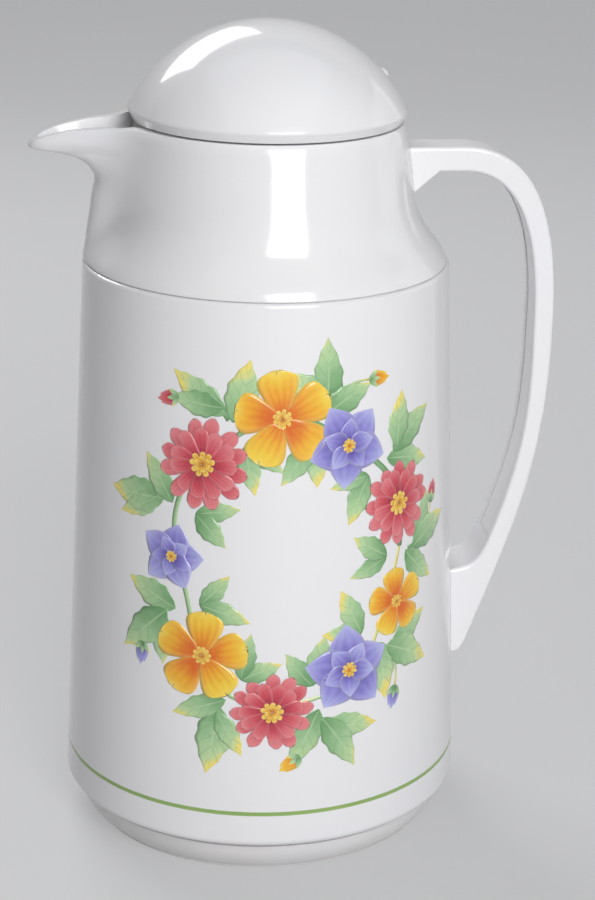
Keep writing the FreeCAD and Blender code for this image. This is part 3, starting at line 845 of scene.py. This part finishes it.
red_sheet.piece(red_ink)
gold_sheet.piece(gold_ink)
blue_sheet.piece(blue_ink)
heart_sheet.piece(heart_ink)
leaf_sheet.piece(leaf_ink)
vine_sheet.piece(leaf_ink)

# %% [markdown]
# The picture needs a place to stand: a pale floor that runs up into a pale wall in one sweep, so that no
# horizon cuts the view. A wall far from the lamps would fall into grey, and more light would wash out the
# carafe. So part of the floor's look is a pale colour of its own, which only the camera and mirrors see, and
# the rest is lit and carries the shadow.

# %% Floor finish
floor_color = (0.46, 0.46, 0.47)
floor_dark = (0.45, 0.45, 0.455)
floor_light = (0.47, 0.47, 0.48)
backdrop_share = 0.46
backdrop_color = (0.74, 0.745, 0.755, 1.0)
floor_finish = Finish("pale_floor", floor_color, roughness=0.6)
floor_grain = floor_finish.noise(scale=30.0, detail=5.0)
floor_finish.set(**{"Base Color": floor_finish.mix(floor_grain, floor_dark, floor_light)})
seen = [floor_finish.node("ShaderNodeLightPath", out=name)
        for name in ("Is Camera Ray", "Is Glossy Ray", "Is Transmission Ray")]
backdrop = floor_finish.node("ShaderNodeEmission", None, {"Color": backdrop_color, "Strength": 1.0})
lit_floor = Socket(floor_finish, floor_finish.shader.outputs[0])
floor_view = floor_finish.node("ShaderNodeMixShader", None, {
    0: (seen[0] + seen[1] + seen[2]).clamped() * backdrop_share,
    1: lit_floor,
    2: backdrop,
})
floor_finish.feed(floor_finish.tree.nodes["Material Output"].inputs["Surface"], floor_view)
print("floor finish ready")

# %% [markdown]
# The floor and wall are one sheet, made of a profile from front to back that is drawn out sideways. A plane
# and a second plane would need a bevel between them. The profile has its quarter circle from the start.

# %% Floor and wall
floor_width = 6.0
floor_front = -3.0
sweep_start = 1.2
sweep_radius = 1.0
wall_height = 3.0
sweep_steps = 24
profile = [(floor_front, 0.0)]
for step in range(sweep_steps + 1):
    turn = math.pi / 2 * step / sweep_steps
    profile.append((sweep_start + sweep_radius * math.sin(turn), sweep_radius * (1 - math.cos(turn))))
profile.append((sweep_start + sweep_radius, wall_height))
verts = [(x, y, z) for x in (-floor_width / 2, floor_width / 2) for y, z in profile]
count = len(profile)
faces = [(i, count + i, count + i + 1, i + 1) for i in range(count - 1)]
floor_mesh = bpy.data.meshes.new("floor")
floor_mesh.from_pydata(verts, [], faces)
floor_mesh.shade_smooth()
floor_mesh.materials.append(floor_finish.material)
floor = bpy.data.objects.new("floor", floor_mesh)
bpy.context.collection.objects.link(floor)
print("floor of", len(faces), "faces")

# %% [markdown]
# Studio light. A tall softbox stands in front to the right and gives the upright highlight on the collar.
# A second one hangs behind and above, and lies as a curved patch on the dome. A wide card to the right fills
# the edge by the handle, and one overhead lifts the dome. Point lamps would be simpler, but on gloss they
# show as hard dots, and an area lamp shows as a soft window.

# %% Lights
look_at = Vector((0.0, 0.0, 0.13))
world_color = (0.75, 0.77, 0.8, 1.0)
world_strength = 0.1


def softbox(name, bearing, rise, distance, width, height, watts):
    """A rectangular lamp that faces the carafe, at a bearing from the front and a rise, both in degrees."""
    turn, lift = math.radians(bearing), math.radians(rise)
    away = Vector((math.sin(turn) * math.cos(lift), -math.cos(turn) * math.cos(lift), math.sin(lift)))
    lamp = bpy.data.lights.new(name, "AREA")
    lamp.shape = "RECTANGLE"
    lamp.size = width
    lamp.size_y = height
    lamp.energy = watts
    lamp_object = bpy.data.objects.new(name, lamp)
    lamp_object.location = look_at + away * distance
    lamp_object.rotation_euler = away.to_track_quat("Z", "Y").to_euler()
    bpy.context.collection.objects.link(lamp_object)
    print(name, watts, "W")


softbox("key_softbox", bearing=10.0, rise=24.0, distance=1.3, width=0.6, height=1.0, watts=14.0)
softbox("back_softbox", bearing=-159.0, rise=39.0, distance=1.2, width=0.7, height=0.42, watts=8.0)
softbox("side_card", bearing=110.0, rise=6.0, distance=1.3, width=1.0, height=1.2, watts=2.5)
softbox("top_card", bearing=0.0, rise=80.0, distance=1.3, width=1.6, height=1.6, watts=3.6)

world = bpy.data.worlds.new("studio")
world.use_nodes = True
sky = world.node_tree.nodes["Background"]
sky.inputs["Color"].default_value = world_color
sky.inputs["Strength"].default_value = world_strength
bpy.context.scene.world = world
bpy.context.scene.view_settings.view_transform = "Standard"

# %% [markdown]
# The camera stands where the picture was taken from: a little to the spout's side, above the lid, with a
# long lens. It could be aimed by eye, but the seams are circles in space, and their shapes in the picture
# give the bearing, dip and roll, here in radians. A small shift, in pixels of the picture, frames the carafe
# without turning the lens.

# %% Camera
image_height = 900.0
shift_right = -51.0
shift_up = -99.0
sensor_height = 36.0
lens_length = 92.615
camera_place = Vector((-78.83, -695.40, 362.43)) * MM
camera_bearing = 0.150509
camera_dip = 0.291830
camera_roll = 0.023373
forward = Vector((
    math.sin(camera_bearing) * math.cos(camera_dip),
    math.cos(camera_bearing) * math.cos(camera_dip),
    -math.sin(camera_dip),
))
level_right = forward.cross(Vector((0, 0, 1))).normalized()
level_up = level_right.cross(forward)
right = math.cos(camera_roll) * level_right + math.sin(camera_roll) * level_up
up = right.cross(forward)
turn_to_world = Matrix((right, up, -forward)).transposed()
camera_data = bpy.data.cameras.new("camera")
camera_data.sensor_fit = "VERTICAL"
camera_data.sensor_height = sensor_height
camera_data.lens = lens_length
camera_data.shift_x = shift_right / image_height
camera_data.shift_y = shift_up / image_height
camera = bpy.data.objects.new("camera", camera_data)
camera.matrix_world = Matrix.Translation(camera_place) @ turn_to_world.to_4x4()
bpy.context.collection.objects.link(camera)
bpy.context.scene.camera = camera
print("camera at", tuple(round(c, 3) for c in camera_place))
